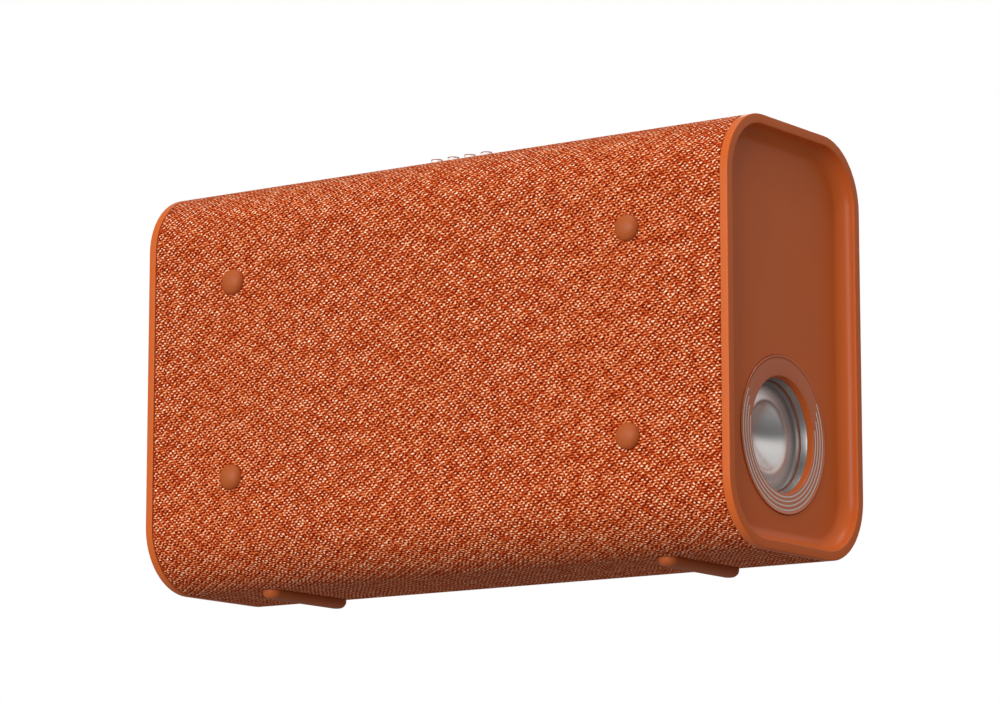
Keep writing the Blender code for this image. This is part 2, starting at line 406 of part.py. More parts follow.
# ---------------------------------------------------------------- screws that hold the caps' spigots in the core, under the fabric
for side, end in ((-1, "torch"), (1, "ports")):
    cap = cap_torch if side < 0 else cap_ports
    for face, name, shell in ((-1, "front", shell_front), (1, "back", shell_rear)):
        x, y = side * 142.5, BODY_Y + face * (DEPTH / 2 - OUTER)
        out = (0, face, 0)
        turned(f"case_screw_{end}_{name}", [(-0.3, 0), (-0.3, 2.2), (-0.7, 2.7), (-1.3, 2.7), (-1.3, 1.4), (-8.4, 1.4), (-8.4, 0)], (x, y, MID_Z), out, STEEL_MAT, 18, closed=False)
        bore = turned(f"case_screw_{end}_{name}_bore", [(1.0, 0), (1.0, 3.1), (-1.6, 3.1), (-1.6, 1.75), (-9.0, 1.75), (-9.0, 0)], (x, y, MID_Z), out, STEEL_MAT, 18, closed=False, helper=True)
        cut(shell, bore)
        cut(cap, bore)


# ---------------------------------------------------------------- internal cables, held along their whole length
def cable(name, points, radius, mat, samples=20):
    """A cable along a smooth curve (Catmull-Rom) through its route's points."""
    route = [Vector(p) for p in points]
    ends = [2 * route[0] - route[1]] + route + [2 * route[-1] - route[-2]]
    line = []
    spans = len(route) - 1
    for i in range(samples + 1):
        t = i / samples * spans
        k = min(int(t), spans - 1)
        t -= k
        a, b, c, d = ends[k : k + 4]
        line.append(0.5 * ((2 * b) + (c - a) * t + (2 * a - 5 * b + 4 * c - d) * t * t + (3 * b - a - 3 * c + d) * t**3))
    curve = bpy.data.curves.new(name, "CURVE")
    curve.dimensions = "3D"
    spline = curve.splines.new("POLY")
    spline.points.add(len(line) - 1)
    for point, p in zip(spline.points, line):
        point.co = (*(p * MM), 1)
    curve.bevel_depth, curve.bevel_resolution, curve.use_fill_caps = radius * MM, 1, True
    return finish(bpy.data.objects.new(name, curve), mat)


cable("battery_cable", [(60, BODY_Y - 12, PACK_TOP + 5.8), (68, BODY_Y - 12, PACK_TOP + 7.5), (76, BODY_Y - 12, PACK_TOP + 4), (82, BODY_Y - 12, PACK_TOP - 4), (87.5, BODY_Y - 12, PACK_TOP - 4)], 1.7, CABLE_MAT)
cable("torch_cable", [(87.5, BODY_Y + 34, 158), (80, BODY_Y + 34, 158), (50, BODY_Y + 36, 150), (0, BODY_Y + 37, 146), (-50, BODY_Y + 36, 142), (-82, BODY_Y + 28, 133), (-90, BODY_Y + 16, 105), (-91, BODY_Y + 5, 78), (-93, BODY_Y, TORCH_Z + 3), (-97, BODY_Y, TORCH_Z), (-103.0, BODY_Y, TORCH_Z)], 1.5, CABLE_MAT, 36)
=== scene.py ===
"""Looks of the fabric-wrapped power station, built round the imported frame. Metres, +Z up."""

import math

import bmesh
import bpy
from mathutils import Matrix, Vector


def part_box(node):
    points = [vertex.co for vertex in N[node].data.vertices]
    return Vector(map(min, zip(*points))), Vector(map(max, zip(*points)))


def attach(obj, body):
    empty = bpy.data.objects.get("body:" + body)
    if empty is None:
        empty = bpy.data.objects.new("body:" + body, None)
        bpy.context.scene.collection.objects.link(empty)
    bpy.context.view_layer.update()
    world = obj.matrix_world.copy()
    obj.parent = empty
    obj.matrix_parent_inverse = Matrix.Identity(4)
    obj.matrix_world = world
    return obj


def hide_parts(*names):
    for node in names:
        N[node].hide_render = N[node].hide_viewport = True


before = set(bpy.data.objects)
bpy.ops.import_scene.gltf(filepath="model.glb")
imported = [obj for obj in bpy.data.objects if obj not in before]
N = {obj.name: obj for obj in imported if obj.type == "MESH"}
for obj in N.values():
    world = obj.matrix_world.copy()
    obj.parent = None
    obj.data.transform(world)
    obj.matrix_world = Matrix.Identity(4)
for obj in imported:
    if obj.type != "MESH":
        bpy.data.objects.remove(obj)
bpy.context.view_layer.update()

MM = 0.001


# ---------------------------------------------------------------- the object's measures, read from the frame
def lo_hi(node):
    low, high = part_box(node)
    return Vector(low), Vector(high)


cap_low, cap_high = lo_hi("end_cap_torch")
port_low, port_high = lo_hi("end_cap_ports")
sleeve_low, sleeve_high = lo_hi("fabric_sleeve")
bezel_low, bezel_high = lo_hi("torch_bezel")

LENGTH = port_high.x - cap_low.x
DEPTH, HEIGHT = cap_high.y - cap_low.y, cap_high.z - cap_low.z
BODY_Y, MID_Z = (cap_low.y + cap_high.y) / 2, (cap_low.z + cap_high.z) / 2
END = LENGTH / 2
TORCH_Z = (bezel_low.z + bezel_high.z) / 2
CORNER = 29 * MM


# ---------------------------------------------------------------- small node-graph writer
class Graph:
    """Writes shader nodes for one material. Every method returns an output socket."""

    def __init__(self, name):
        self.mat = bpy.data.materials.new(name)
        self.mat.use_nodes = True
        self.nt = self.mat.node_tree
        self.shader = self.nt.nodes["Principled BSDF"]

    def _put(self, node, index, value):
        if isinstance(value, bpy.types.NodeSocket):
            self.nt.links.new(value, node.inputs[index])
        elif value is not None:
            node.inputs[index].default_value = value

    def math(self, op, a, b=None, c=None, clamp=False):
        node = self.nt.nodes.new("ShaderNodeMath")
        node.operation, node.use_clamp = op, clamp
        for i, v in enumerate((a, b, c)):
            self._put(node, i, v)
        return node.outputs[0]

    def mix(self, factor, a, b, blend="MIX"):
        node = self.nt.nodes.new("ShaderNodeMix")
        node.data_type, node.blend_type = "RGBA", blend
        self._put(node, 0, factor)
        for i, v in ((6, a), (7, b)):
            self._put(node, i, (*v, 1.0) if isinstance(v, tuple) and len(v) == 3 else v)
        return node.outputs[2]

    def ramp(self, value, stops, interpolation="LINEAR"):
        node = self.nt.nodes.new("ShaderNodeValToRGB")
        node.color_ramp.interpolation = interpolation
        elements = node.color_ramp.elements
        while len(elements) < len(stops):
            elements.new(0.5)
        for e, (p, colour) in zip(elements, stops):
            e.position = p
            e.color = (*colour, 1.0) if isinstance(colour, tuple) else (colour, colour, colour, 1.0)
        self._put(node, 0, value)
        return node.outputs[0]

    def range(self, value, a, b, c=0.0, d=1.0, smooth=False):
        node = self.nt.nodes.new("ShaderNodeMapRange")
        node.interpolation_type = "SMOOTHSTEP" if smooth else "LINEAR"
        for i, v in enumerate((value, a, b, c, d)):
            self._put(node, i, v)
        return node.outputs[0]

    def noise(self, vector, scale, detail=3.0, roughness=0.55, dims="3D"):
        node = self.nt.nodes.new("ShaderNodeTexNoise")
        node.noise_dimensions = dims
        self._put(node, "Vector", vector)
        for k, v in (("Scale", scale), ("Detail", detail), ("Roughness", roughness)):
            node.inputs[k].default_value = v
        return node.outputs["Fac"]

    def coord(self):
        """Object coordinates, in metres; every piece's origin is the frame's origin."""
        return self.nt.nodes.new("ShaderNodeTexCoord").outputs["Object"]

    def uv(self, name):
        node = self.nt.nodes.new("ShaderNodeUVMap")
        node.uv_map = name
        return node.outputs[0]

    def split(self, vector):
        node = self.nt.nodes.new("ShaderNodeSeparateXYZ")
        self._put(node, 0, vector)
        return node.outputs

    def join(self, x, y, z=0.0):
        node = self.nt.nodes.new("ShaderNodeCombineXYZ")
        for i, v in enumerate((x, y, z)):
            self._put(node, i, v)
        return node.outputs[0]

    def bump(self, height, strength, distance, normal=None):
        node = self.nt.nodes.new("ShaderNodeBump")
        node.inputs["Strength"].default_value = strength
        node.inputs["Distance"].default_value = distance
        self._put(node, "Height", height)
        if normal is not None:
            self._put(node, "Normal", normal)
        return node.outputs[0]

    def set(self, **sockets):
        names = {"color": "Base Color", "rough": "Roughness", "metal": "Metallic", "normal": "Normal", "coat": "Coat Weight", "coat_rough": "Coat Roughness", "spec": "Specular IOR Level", "sheen": "Sheen Weight", "sheen_rough": "Sheen Roughness", "trans": "Transmission Weight", "alpha": "Alpha", "ior": "IOR", "sss": "Subsurface Weight", "sss_scale": "Subsurface Scale"}
        for key, value in sockets.items():
            if isinstance(value, tuple) and len(value) == 3:
                value = (*value, 1.0)
            self._put(self.shader, names[key], value)
        return self.mat


def srgb(r, g, b):
    """A colour from 0 to 255 display values."""
    return tuple(c / 12.92 if c <= 0.04045 else ((c + 0.055) / 1.055) ** 2.4 for c in (r / 255, g / 255, b / 255))


# ---------------------------------------------------------------- materials
def moulded(name, colour, rough, grain=0.35, wear=0.5, speck=1.0, spec=0.2, coat=0.0):
    """Moulded plastic or rubber: spark-eroded grain, faint flow mottling, rubbed convex edges."""
    g = Graph(name)
    p = g.coord()
    mottled = g.noise(p, 28.0, 4.0)
    cloud = g.noise(p, 7.0, 2.0)
    fine = g.noise(p, 2600.0, 2.0, 0.6)
    low, high = tuple(c * (1 - 0.02 * speck) for c in colour), tuple(min(1.0, c * (1 + 0.02 * speck)) for c in colour)
    base = g.mix(g.range(mottled, 0.3, 0.7), low, high)
    pale = tuple(min(1.0, c * 0.8 + 0.06) for c in colour)
    geometry = g.nt.nodes.new("ShaderNodeNewGeometry")
    edge = g.range(geometry.outputs["Pointiness"], 0.53, 0.62)
    base = g.mix(g.math("MULTIPLY", g.math("MULTIPLY", edge, g.range(fine, 0.35, 0.7)), 0.15 * wear), base, pale)
    roughness = g.math("ADD", g.range(cloud, 0.3, 0.7, rough - 0.03, rough + 0.03), g.range(fine, 0.3, 0.7, -0.02, 0.02))
    normal = g.bump(fine, grain, 0.00003)
    return g.set(color=base, rough=roughness, normal=normal, spec=spec, coat=coat, coat_rough=0.12)


# The weave's rhythms, in cycles per mm (along the body, up the body), and how strongly each shows.
WEAVE = (
    (0.162, -0.264, 0.90, 0.00),
    (0.330, -0.528, 1.35, 0.00),
    (0.030, -0.880, 1.90, 0.25),
    (0.462, -0.353, 1.15, 0.10),
    (0.158, 0.319, 0.52, 0.60),
    (0.480, 0.376, 0.85, 0.00),
    (0.422, 0.529, 0.85, 0.35),
    (0.481, -0.203, 0.60, 0.75),
    (0.328, 0.061, 0.42, 0.30),
    (0.320, 0.653, 0.60, 0.50),
)


def twill():
    """Coarse heathered twill whose colour follows the weave's height: painted shade darkens the low places and painted
    highlight turns the high places cream, with heather tone mixed in. The map 'weave' holds millimetres along the body
    and round it.
    """
    g = Graph("twill_with_painted_shade_and_highlight")
    raw = g.split(g.uv("weave"))
    drift = g.noise(g.uv("weave"), 0.03, 2.0, 0.5, "2D")
    wander = g.noise(g.uv("weave"), 0.30, 1.0, 0.5, "2D")
    stray = g.noise(g.uv("weave"), 0.33, 1.0, 0.5, "3D")
    u = g.math("ADD", g.math("ADD", raw[0], g.math("MULTIPLY", drift, 3.0)), g.math("MULTIPLY", wander, 1.3))
    v = g.math("ADD", raw[1], g.math("MULTIPLY", stray, 1.0))
    total = None
    power = 0.0
    for ku, kv, amount, turn in WEAVE:
        phase = g.math("MULTIPLY_ADD", v, 2 * math.pi * kv, g.math("MULTIPLY_ADD", u, 2 * math.pi * ku, 2 * math.pi * turn))
        wave = g.math("COSINE", phase)
        total = g.math("MULTIPLY", wave, amount) if total is None else g.math("MULTIPLY_ADD", wave, amount, total)
        power += amount * amount / 2
    fibre = g.noise(g.uv("weave"), 1.15, 2.0, 0.65, "2D")
    heather = g.noise(g.uv("weave"), 0.17, 2.0, 0.5, "2D")
    score = g.math("MULTIPLY", total, 0.92 / math.sqrt(power))
    score = g.math("MULTIPLY_ADD", g.math("SUBTRACT", fibre, 0.5), 4.0, score)
    score = g.math("MULTIPLY_ADD", g.math("SUBTRACT", heather, 0.5), 1.6, score)
    tone = g.range(score, -3.0, 3.0)
    at = lambda z: (z + 3.0) / 6.0
    # dark red-brown to cream against the weave's height: painted shade in the hollows, painted highlight on the tops
    colour = g.ramp(tone, [(at(-2.3), srgb(84, 10, 1)), (at(-1.2), srgb(118, 25, 4)), (at(-0.6), srgb(150, 43, 9)), (at(0.0), srgb(178, 62, 18)), (at(0.6), srgb(203, 91, 38)), (at(1.2), srgb(228, 144, 92)), (at(1.8), srgb(246, 206, 168)), (at(2.6), srgb(252, 236, 212))])
    normal = g.bump(tone, 0.5, 0.0008)
    return g.set(color=colour, rough=0.9, normal=normal, spec=0.06)


ORANGE = (0.592, 0.119, 0.0215)
M_TWILL = twill()
M_SHELL = moulded("satin_orange_shell", ORANGE, 0.36, grain=0.08, spec=0.17)
M_GLOSS = moulded("gloss_orange_bezel", (0.55, 0.120, 0.030), 0.16, grain=0.02, wear=0.0, spec=0.5, coat=0.3)
M_FEET = moulded("orange_rubber", (0.41, 0.088, 0.019), 0.5, grain=0.1, spec=0.22)
M_CORE = moulded("black_core", (0.028, 0.028, 0.03), 0.55, grain=0.6)
M_SEAL = moulded("black_seal", (0.018, 0.018, 0.018), 0.75, grain=0.5)
M_PRINT = moulded("grey_print", (0.66, 0.68, 0.64), 0.3, grain=0.02, wear=0.0, spec=0.4)
M_KEY = moulded("pale_key", (0.86, 0.83, 0.80), 0.3, grain=0.05, wear=0.2, spec=0.4)
# brown ring for the keys' top edges: a painted reflection of the orange body
M_KEY_RIM_PAINTED_REFLECTION = moulded("key_rim_painted_reflection", (0.30, 0.06, 0.04), 0.4, grain=0.1)
M_CABLE = moulded("red_cable", (0.28, 0.02, 0.02), 0.5)
M_CELL = moulded("blue_cell_sleeve", (0.04, 0.12, 0.32), 0.4)


def metal(name, colour, rough, scale=900.0, strength=0.12, brushed=None):
    """Metal with fine working marks and handling haze."""
    g = Graph(name)
    p = g.coord()
    if brushed:
        x, y, z = g.split(p)[0:3]
        p = g.join(g.math("MULTIPLY", x, brushed[0]), g.math("MULTIPLY", y, brushed[1]), g.math("MULTIPLY", z, brushed[2]))
    fine, haze = g.noise(p, scale, 3.0), g.noise(g.coord(), 60.0, 3.0)
    base = g.mix(g.range(haze, 0.3, 0.7), tuple(c * 0.95 for c in colour), colour)
    roughness = g.math("ADD", g.range(haze, 0.3, 0.7, rough - 0.04, rough + 0.05), g.range(fine, 0.3, 0.7, -0.02, 0.02))
    return g.set(color=base, rough=roughness, metal=1.0, normal=g.bump(fine, strength, 0.00002))


M_CHROME = metal("satin_chrome", (0.42, 0.42, 0.415), 0.40, strength=0.0)


def bowl_material():
    """Vacuum-metallised plastic: bright in the bowl, a pink band on its shoulder that is a painted reflection, darker
    and rougher towards the edge, the darkening being painted shade.
    """
    g = Graph("metallised_bowl")
    x, y, z = g.split(g.coord())[0:3]
    dy, dz = g.math("SUBTRACT", y, BODY_Y), g.math("SUBTRACT", z, TORCH_Z)
    radius = g.math("SQRT", g.math("MULTIPLY_ADD", dy, dy, g.math("MULTIPLY", dz, dz)))
    haze = g.noise(g.coord(), 60.0, 3.0)
    at = lambda mm: mm / 25.0
    # base colour against radius: the pink stop near 15 mm is a painted reflection, the fall to dark grey past 20 mm is
    # painted shade
    tone = g.ramp(g.math("MULTIPLY", radius, 40.0), [(at(0.0), (0.94, 0.91, 0.89)), (at(13.2), (0.93, 0.90, 0.88)), (at(15.3), (0.80, 0.62, 0.56)), (at(16.7), (0.88, 0.82, 0.80)), (at(19.2), (0.86, 0.82, 0.81)), (at(20.8), (0.62, 0.58, 0.57)), (at(22.2), (0.36, 0.32, 0.31)), (at(23.5), (0.30, 0.265, 0.255))])
    roughness = g.math("ADD", g.range(radius, 0.014, 0.021, 0.30, 0.52, smooth=True), g.range(haze, 0.3, 0.7, -0.02, 0.03))
    return g.set(color=g.mix(g.range(haze, 0.3, 0.7, 0.0, 0.06), tone, (0.5, 0.48, 0.47)), rough=roughness, metal=1.0)


M_BOWL = bowl_material()
M_NICKEL = metal("nickel", (0.62, 0.6, 0.55), 0.32)
M_ALU = metal("cast_aluminium", (0.6, 0.6, 0.62), 0.45, 500.0, 0.4)
M_STEEL = metal("zinc_steel", (0.55, 0.55, 0.55), 0.35)


def board_material():
    g = Graph("solder_mask")
    x, y, z = g.split(g.coord())[0:3]
    trace = g.math("ABSOLUTE", g.math("SINE", g.math("MULTIPLY", g.math("ADD", g.math("ADD", x, y), z), 1800.0)))
    patchy = g.noise(g.coord(), 120.0, 2.0)
    lines = g.math("MULTIPLY", g.range(trace, 0.86, 0.92), g.range(patchy, 0.45, 0.5))
    return g.set(color=g.mix(lines, (0.012, 0.09, 0.035), (0.03, 0.2, 0.08)), rough=g.range(lines, 0.0, 1.0, 0.38, 0.3), normal=g.bump(lines, 0.3, 0.00005))


M_BOARD = board_material()


def lens_material():
    g = Graph("clear_lens")
    smear = g.noise(g.coord(), 90.0, 3.0)
    return g.set(color=(0.96, 0.97, 0.97), rough=g.range(smear, 0.3, 0.8, 0.02, 0.06), trans=1.0, ior=1.2, normal=g.bump(smear, 0.02, 0.00002))


M_LENS = lens_material()


# ---------------------------------------------------------------- mesh helpers
def emit(name, bm, mat, body="housing", replaces=(), slot=None, smooth=40.0, uv=None):
    bmesh.ops.recalc_face_normals(bm, faces=bm.faces)
    mesh = bpy.data.meshes.new(name)
    bm.to_mesh(mesh)
    bm.free()
    obj = bpy.data.objects.new(name, mesh)
    bpy.context.scene.collection.objects.link(obj)
    mesh.materials.append(mat)
    mesh.shade_smooth()
    mesh.set_sharp_from_angle(angle=math.radians(smooth))
    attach(obj, body)
    if replaces:
        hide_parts(*replaces)
    return obj


def section(inset, steps, straight=1):
    """Rounded-rectangle points (y, z, arc length) moved inwards by inset; the arc length is measured on the outer skin."""
    r, hy, hz = CORNER - inset, DEPTH / 2 - CORNER, HEIGHT / 2 - CORNER
    arc = math.pi / 2 * CORNER
    points, run = [], 0.0
    for q, (sy, sz) in enumerate(((1, 1), (-1, 1), (-1, -1), (1, -1))):
        for k in range(steps + 1):
            a = math.radians(90 * (q + k / steps))
            points.append((BODY_Y + sy * hy + r * math.cos(a), MID_Z + sz * hz + r * math.sin(a), run + arc * k / steps))
        side = 2 * hy if q % 2 == 0 else 2 * hz
        y0, z0, _ = points[-1]
        nsy, nsz = ((-1, 1), (-1, -1), (1, -1), (1, 1))[q]
        a = math.radians(90 * (q + 1))
        y1, z1 = BODY_Y + nsy * hy + r * math.cos(a), MID_Z + nsz * hz + r * math.sin(a)
        for k in range(1, straight):
            t = k / straight
            points.append((y0 + (y1 - y0) * t, z0 + (z1 - z0) * t, run + arc + side * t))
        run += arc + side
    return points, run


def rounded_profile(points, steps=6):
    """A polyline of (a, b, radius): every corner with a radius is turned into an arc."""
    out = []
    n = len(points)
    for i, (a, b, r) in enumerate(points):
        p = Vector((a, b))
        if r <= 0 or i in (0, n - 1):
            out.append(p)
            continue
        d0, d1 = (Vector(points[i - 1][:2]) - p), (Vector(points[i + 1][:2]) - p)
        u0, u1 = d0.normalized(), d1.normalized()
        half = math.acos(max(-1, min(1, u0.dot(u1)))) / 2
        cutback = min(r / math.tan(half), d0.length * 0.499, d1.length * 0.499)
        r = cutback * math.tan(half)
        centre = p + (u0 + u1).normalized() * (r / math.sin(half))
        s, e = p + u0 * cutback - centre, p + u1 * cutback - centre
        turn = s.angle_signed(e) if hasattr(s, "angle_signed") else 0
        for k in range(steps + 1):
            w = k / steps
            ang = s.angle(e)
            v = (s * math.sin((1 - w) * ang) + e * math.sin(w * ang)) / max(math.sin(ang), 1e-9)
            out.append(centre + v)
    return out


def through(points, steps):
    """A smooth curve through (a, b) points, without the first and last stretch's own end."""
    p = [Vector(q) for q in points]
    out = []
    for p0, p1, p2, p3 in zip(p, p[1:], p[2:], p[3:]):
        for k in range(steps):
            t = k / steps
            q = 0.5 * (2 * p1 + (p2 - p0) * t + (2 * p0 - 5 * p1 + 4 * p2 - p3) * t * t + (3 * p1 - p0 - 3 * p2 + p3) * t * t * t)
            out.append((q.x, q.y))
    return out + [tuple(p[-2])]


def lathe(name, profile, mat, steps=128, closed=True, **kw):
    """Turned round the torch axis; profile is (depth behind the rim, radius) in mm."""
    bm = bmesh.new()
    rings = []
    for depth, radius in profile:
        x = -END + depth * MM
        if radius < 1e-6:
            rings.append([bm.verts.new((x, BODY_Y, TORCH_Z))])
        else:
            rings.append([bm.verts.new((x, BODY_Y + radius * MM * math.cos(2 * math.pi * k / steps), TORCH_Z + radius * MM * math.sin(2 * math.pi * k / steps))) for k in range(steps)])
    pairs = list(zip(rings, rings[1:])) + ([(rings[-1], rings[0])] if closed else [])
    for a, b in pairs:
        for k in range(steps):
            j = (k + 1) % steps
            corner = [a[k % len(a)], a[j % len(a)], b[j % len(b)], b[k % len(b)]]
            unique = list(dict.fromkeys(corner))
            if len(unique) > 2:
                bm.faces.new(unique)
    return emit(name, bm, mat, **kw)


def revolve(bm, profile, centre, axis, steps, closed=False):
    """Adds a turned skin; profile is (along, radius) in metres from centre, open profiles start and end on the axis."""
    turn = Vector((0, 0, 1)).rotation_difference(Vector(axis)).to_matrix()
    rings = []
    for along, radius in profile:
        if radius < 1e-9:
            rings.append([bm.verts.new(Vector(centre) + turn @ Vector((0, 0, along)))])
        else:
            rings.append([bm.verts.new(Vector(centre) + turn @ Vector((radius * math.cos(2 * math.pi * k / steps), radius * math.sin(2 * math.pi * k / steps), along))) for k in range(steps)])
    for a, b in list(zip(rings, rings[1:])) + ([(rings[-1], rings[0])] if closed else []):
        for k in range(steps):
            j = (k + 1) % steps
            unique = list(dict.fromkeys([a[k % len(a)], a[j % len(a)], b[j % len(b)], b[k % len(b)]]))
            if len(unique) > 2:
                bm.faces.new(unique)


def soft(points, steps=6):
    return [(p.x * MM, p.y * MM) for p in rounded_profile(points, steps)]


def loft_rings(bm, rings, closed):
    made = [[bm.verts.new(p) for p in ring] for ring in rings]
    for a, b in list(zip(made, made[1:])) + ([(made[-1], made[0])] if closed else []):
        for k in range(len(a)):
            j = (k + 1) % len(a)
            bm.faces.new((a[k], a[j], b[j], b[k]))
    if not closed:
        bm.faces.new(made[0])
        bm.faces.new(made[-1][::-1])


def cutter(name, build):
    bm = bmesh.new()
    build(bm)
    bmesh.ops.recalc_face_normals(bm, faces=bm.faces)
    mesh = bpy.data.meshes.new(name)
    bm.to_mesh(mesh)
    bm.free()
    obj = bpy.data.objects.new(name, mesh)
    bpy.context.scene.collection.objects.link(obj)
    return obj


def carve(obj, tools, smooth=40.0):
    """Applies (operation, tool) booleans in order, then drops the tools."""
    for operation, tool in tools:
        mod = obj.modifiers.new("carve", "BOOLEAN")
        mod.operation, mod.solver, mod.object = operation, "EXACT", tool
    bpy.context.view_layer.update()
    done = bpy.data.meshes.new_from_object(obj.evaluated_get(bpy.context.evaluated_depsgraph_get()))
    obj.modifiers.clear()
    old, obj.data = obj.data, done
    done.name = old.name
    bpy.data.meshes.remove(old)
    for _, tool in tools:
        bpy.data.objects.remove(tool)
    obj.data.shade_smooth()
    obj.data.set_sharp_from_angle(angle=math.radians(smooth))
    return obj


def tube(bm, radius, start, end, steps=48):
    start, end = Vector(start), Vector(end)
    length = (end - start).length
    revolve(bm, [(0, 0), (0, radius), (length, radius), (length, 0)], start, end - start, steps)


def prism(bm, outline, x0, x1):
    loft_rings(bm, [[(x0, y, z) for y, z in outline], [(x1, y, z) for y, z in outline]], closed=False)


def round_rect(cy, cz, hy, hz, r, steps=8):
    return [
        (cy + sy * (hy - r) + r * math.cos(math.radians(90 * (q + k / steps))), cz + sz * (hz - r) + r * math.sin(math.radians(90 * (q + k / steps))))
        for q, (sy, sz) in enumerate(((1, 1), (-1, 1), (-1, -1), (1, -1)))
        for k in range(steps + 1)
    ]


# ---------------------------------------------------------------- textile sleeve
KEYS = ("battery_check", "usb", "torch", "power")


def centre_of(node):
    low, high = lo_hi(node)
    return (low + high) / 2


def build_sleeve():
    x0, x1 = sleeve_low.x, sleeve_high.x
    steps, straight = 14, 26
    outer, around = section(0.0, steps, straight)
    inner, _ = section(1.2 * MM, steps, straight)
    along = [x0, x0 + 0.25 * MM, x0 + 0.6 * MM, x0 + 1.1 * MM]
    cuts = 96
    body = [x0 + 1.1 * MM + (x1 - x0 - 2.2 * MM) * k / cuts for k in range(1, cuts)]
    along = along + body + [x1 - 1.1 * MM, x1 - 0.6 * MM, x1 - 0.25 * MM, x1]
    dip = {0: 0.75, 1: 0.34, 2: 0.10, 3: 0.0}
    bm = bmesh.new()
    layer = bm.loops.layers.uv.new("weave")
    count = len(outer)
    grids = []
    for points, skin in ((outer, True), (inner, False)):
        grid = []
        for i, x in enumerate(along):
            d = dip.get(min(i, len(along) - 1 - i), 0.0) * MM if skin else 0.0
            ring = []
            for k, (y, z, run) in enumerate(points):
                iy, iz, _ = inner[k]
                towards = Vector((0, iy - y, iz - z)) if skin else Vector((0, 0, 0))
                if towards.length:
                    towards.normalize()
                ring.append(bm.verts.new(Vector((x, y, z)) + towards * d))
            grid.append(ring)
        grids.append(grid)

    def face(corners, coords):
        f = bm.faces.new(corners)
        for loop, (u, v) in zip(f.loops, coords):
            loop[layer].uv = (u, v)

    runs = [p[2] * 1000 for p in outer] + [around * 1000]
    for s, grid in enumerate(grids):
        for i in range(len(along) - 1):
            for k in range(count):
                j = (k + 1) % count
                u0, u1 = -along[i] * 1000, -along[i + 1] * 1000
                face((grid[i][k], grid[i + 1][k], grid[i + 1][j], grid[i][j]), ((u0, runs[k]), (u1, runs[k]), (u1, runs[k + 1]), (u0, runs[k + 1])))
    for i in (0, len(along) - 1):
        u = -along[i] * 1000
        for k in range(count):
            j = (k + 1) % count
            face((grids[0][i][k], grids[0][i][j], grids[1][i][j], grids[1][i][k]), ((u, runs[k]), (u, runs[k + 1]), (u + 1.2, runs[k + 1]), (u + 1.2, runs[k])))
    sleeve = emit("textile_sleeve", bm, M_TWILL, replaces=("fabric_sleeve",), slot="fabric", smooth=60)

    def holes(b):
        for key in KEYS:
            c = centre_of(f"button_{key}")
            tube(b, 2.9 * MM, (c.x, c.y, MID_Z + HEIGHT / 2 - 5 * MM), (c.x, c.y, MID_Z + HEIGHT / 2 + 5 * MM))
        for name in N:
            if name.startswith("back_foot"):
                c = centre_of(name)
                tube(b, 2.3 * MM, (c.x, BODY_Y + DEPTH / 2 - 4 * MM, c.z), (c.x, BODY_Y + DEPTH / 2 + 4 * MM, c.z), 24)
            if name.startswith("base_foot"):
                c = centre_of(name)
                for dy in (-16 * MM, 16 * MM):
                    tube(b, 2.3 * MM, (c.x, BODY_Y + dy, cap_low.z - 3 * MM), (c.x, BODY_Y + dy, cap_low.z + 4 * MM), 24)

    carve(sleeve, [("DIFFERENCE", cutter("sleeve_holes", holes))], 60)
    return sleeve


# ---------------------------------------------------------------- end caps
def cap_rings(side):
    """Skin of an end cap from the middle of the recess floor, over the rim and band, to the back of the floor."""
    cove = [(4.4 + 6.1 * (1 - math.cos(math.radians(t))), 7.2 - 6.1 * (1 - math.sin(math.radians(t))), 0) for t in range(90, -1, -5)]
    profile = rounded_profile(
        [(14.0, 7.2, 0)] + cove + [
            (4.2, 0.0, 0.45),
            (0.0, 0.0, 0.45),
            (0.0, 3.7, 0.2),
            (1.5, 3.7, 0),
            (1.5, 8.2, 0),
            (4.6, 8.2, 0),
            (4.6, 17.5, 0),
            (7.0, 17.5, 0),
            (7.0, 9.6, 0),
        ],
        8,
    )
    rings = []
    for p in profile:
        points, _ = section(p.x * MM, 16)
        rings.append([(side * (END - p.y * MM), y, z) for y, z, _ in points])
    return rings


def build_cap_torch():
    bm = bmesh.new()
    loft_rings(bm, cap_rings(-1), closed=False)
    cap = emit("torch_end_cap", bm, M_SHELL, replaces=("end_cap_torch",), slot="shell")
    at = lambda d: (-END + d * MM, BODY_Y, TORCH_Z)
    carve(
        cap,
        [
            ("UNION", cutter("seat", lambda b: tube(b, 38 * MM, at(8.2), at(11.5), 92))),
            ("DIFFERENCE", cutter("counterbore", lambda b: revolve(b, [(0, 0), (0, 34.1 * MM), (2.1 * MM, 34.1 * MM), (2.4 * MM, 34.05 * MM), (3.5 * MM, 34.05 * MM), (3.5 * MM, 27 * MM), (8 * MM, 27 * MM), (8 * MM, 0)], at(5.0), (1, 0, 0), 128))),
        ],
    )
    return cap


